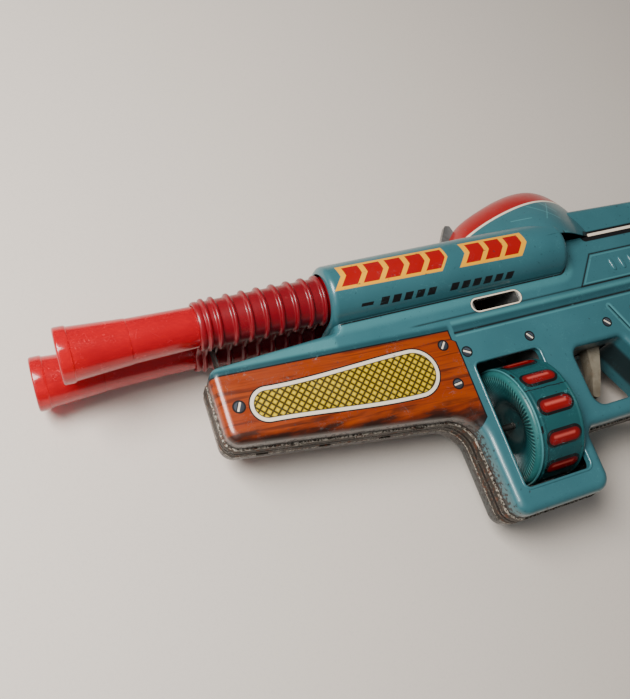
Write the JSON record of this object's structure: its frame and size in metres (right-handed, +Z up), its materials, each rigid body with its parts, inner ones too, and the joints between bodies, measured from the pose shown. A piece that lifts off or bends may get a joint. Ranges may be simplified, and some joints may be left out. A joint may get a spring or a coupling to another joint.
{
  "type": "tin toy space gun",
  "caption": "Double-barrelled battery tin space gun with sliding red barrels, ribbed sleeve, turning drum, trigger and geared motor, lying on its side.",
  "frame": {"origin": "middle of the bounding box, on the surface that the toy lies on", "axes": "+X from the muzzles to the butt, +Y towards the toy's top, +Z up out of its left side"},
  "size_m": [0.3938, 0.1624, 0.0568],
  "materials": {
    "painted_tin": "gloss lithographed enamel, worn at the edges",
    "bare_steel": "bare tinplate, tarnished",
    "red_plastic": "translucent moulded plastic",
    "zinc_steel": "zinc plated",
    "trigger_steel": "plated, dulled",
    "shaft_steel": "ground",
    "gear_brass": "plain",
    "motor_steel": "drawn",
    "fibre": "pressed fibre board",
    "cell_jacket": "printed jacket",
    "lamp_glass": "clear"
  },
  "bodies": {
    "body": {"shell_left": "painted_tin", "shell_right": "painted_tin", "seam_strip": "bare_steel", "shell_tabs": "bare_steel", "front_sight": "bare_steel", "sleeve_left": "red_plastic", "sleeve_right": "red_plastic", "sleeve_bracket": "bare_steel", "rocker_post": "shaft_steel", "rocker_bracket": "zinc_steel", "lamp_glass": "lamp_glass", "lamp_base": "gear_brass", "lamp_holder": "zinc_steel", "crank_plate": "zinc_steel", "gear_plate": "zinc_steel", "idler_1_stud": "shaft_steel", "idler_2_stud": "shaft_steel", "drum_plate": "zinc_steel", "motor_can": "motor_steel", "motor_cap": "fibre", "motor_plate": "zinc_steel", "trigger_pin": "shaft_steel", "switch_block": "fibre", "switch_blades": "gear_brass", "cell_plate": "fibre", "front_contacts": "gear_brass", "cell_left": "cell_jacket", "cell_right": "cell_jacket", "door_hinge_leaf": "bare_steel", "door_hinge_pin": "shaft_steel", "door_catch": "bare_steel"},
    "left_barrel": {"barrel_left": "red_plastic", "carriage_left": "zinc_steel"},
    "right_barrel": {"barrel_right": "red_plastic", "carriage_right": "zinc_steel"},
    "rocker": {"rocker_arm": "zinc_steel"},
    "drum": {"drum_shell": "painted_tin", "drum_front_disc": "painted_tin", "drum_rear_disc": "painted_tin", "drum_shaft": "shaft_steel", "drum_gear": "gear_brass"},
    "idler_gear_1": {"idler_1": "gear_brass"},
    "idler_gear_2": {"idler_2": "gear_brass"},
    "layshaft_set": {"layshaft": "shaft_steel", "layshaft_pinion": "gear_brass", "layshaft_gear": "gear_brass"},
    "crank_set": {"crank_disc": "zinc_steel", "crank_shaft": "shaft_steel", "crank_gear": "gear_brass"},
    "motor_rotor": {"motor_shaft": "shaft_steel", "motor_armature": "motor_steel", "motor_pinion": "gear_brass"},
    "trigger": {"trigger": "trigger_steel", "trigger_spring": "zinc_steel"},
    "battery_door": {"battery_door": "painted_tin", "door_contact": "gear_brass"}
  },
  "joints": [
    {"name": "left_barrel_slide", "type": "slide", "parent": "body", "child": "left_barrel", "axis": [-1, 0, 0], "range_m": [0, 0.0117]},
    {"name": "right_barrel_slide", "type": "slide", "parent": "body", "child": "right_barrel", "axis": [-1, 0, 0], "range_m": [-0.0117, 0]},
    {"name": "rocker_swing", "type": "hinge", "parent": "body", "child": "rocker", "pos_m": [-0.03515, 0.02934, 0.0284], "axis": [0, 1, 0], "range_deg": [-49.3, 0]},
    {"name": "drum_spin", "type": "hinge", "parent": "body", "child": "drum", "pos_m": [0.01485, -0.03616, 0.0284], "axis": [1, 0, 0], "continuous": true},
    {"name": "idler_1_spin", "type": "hinge", "parent": "body", "child": "idler_gear_1", "pos_m": [0.01485, -0.00046, 0.0284], "axis": [1, 0, 0], "continuous": true},
    {"name": "idler_2_spin", "type": "hinge", "parent": "body", "child": "idler_gear_2", "pos_m": [0.01485, -0.01546, 0.0284], "axis": [1, 0, 0], "continuous": true},
    {"name": "layshaft_spin", "type": "hinge", "parent": "body", "child": "layshaft_set", "pos_m": [0.01485, 0.01154, 0.0284], "axis": [1, 0, 0], "continuous": true},
    {"name": "crank_spin", "type": "hinge", "parent": "body", "child": "crank_set", "pos_m": [0.01485, 0.02924, 0.0284], "axis": [1, 0, 0], "continuous": true},
    {"name": "motor_spin", "type": "hinge", "parent": "body", "child": "motor_rotor", "pos_m": [0.01485, 0.02924, 0.0284], "axis": [1, 0, 0], "continuous": true},
    {"name": "trigger_pull", "type": "hinge", "parent": "body", "child": "trigger", "pos_m": [0.06285, -0.00376, 0.0284], "axis": [0, 0, 1], "range_deg": [0, 10], "stiffness_Nm_per_rad": 0.3, "springref_deg": -14.32},
    {"name": "battery_door_hinge", "type": "hinge", "parent": "body", "child": "battery_door", "pos_m": [0.19085, 0.02394, 0.0284], "axis": [0, 0, -1], "range_deg": [0, 100]}
  ],
  "couplings": [
    {"joint": "right_barrel_slide", "follows": "left_barrel_slide", "ratio": -1},
    {"joint": "rocker_swing", "follows": "left_barrel_slide", "rad_per_m": -73.533},
    {"joint": "idler_2_spin", "follows": "drum_spin", "ratio": -1.875},
    {"joint": "idler_1_spin", "follows": "drum_spin", "ratio": 1.7308},
    {"joint": "layshaft_spin", "follows": "drum_spin", "ratio": -3.2143},
    {"joint": "crank_spin", "follows": "drum_spin", "ratio": 1},
    {"joint": "motor_spin", "follows": "drum_spin", "ratio": 10.332}
  ]
}
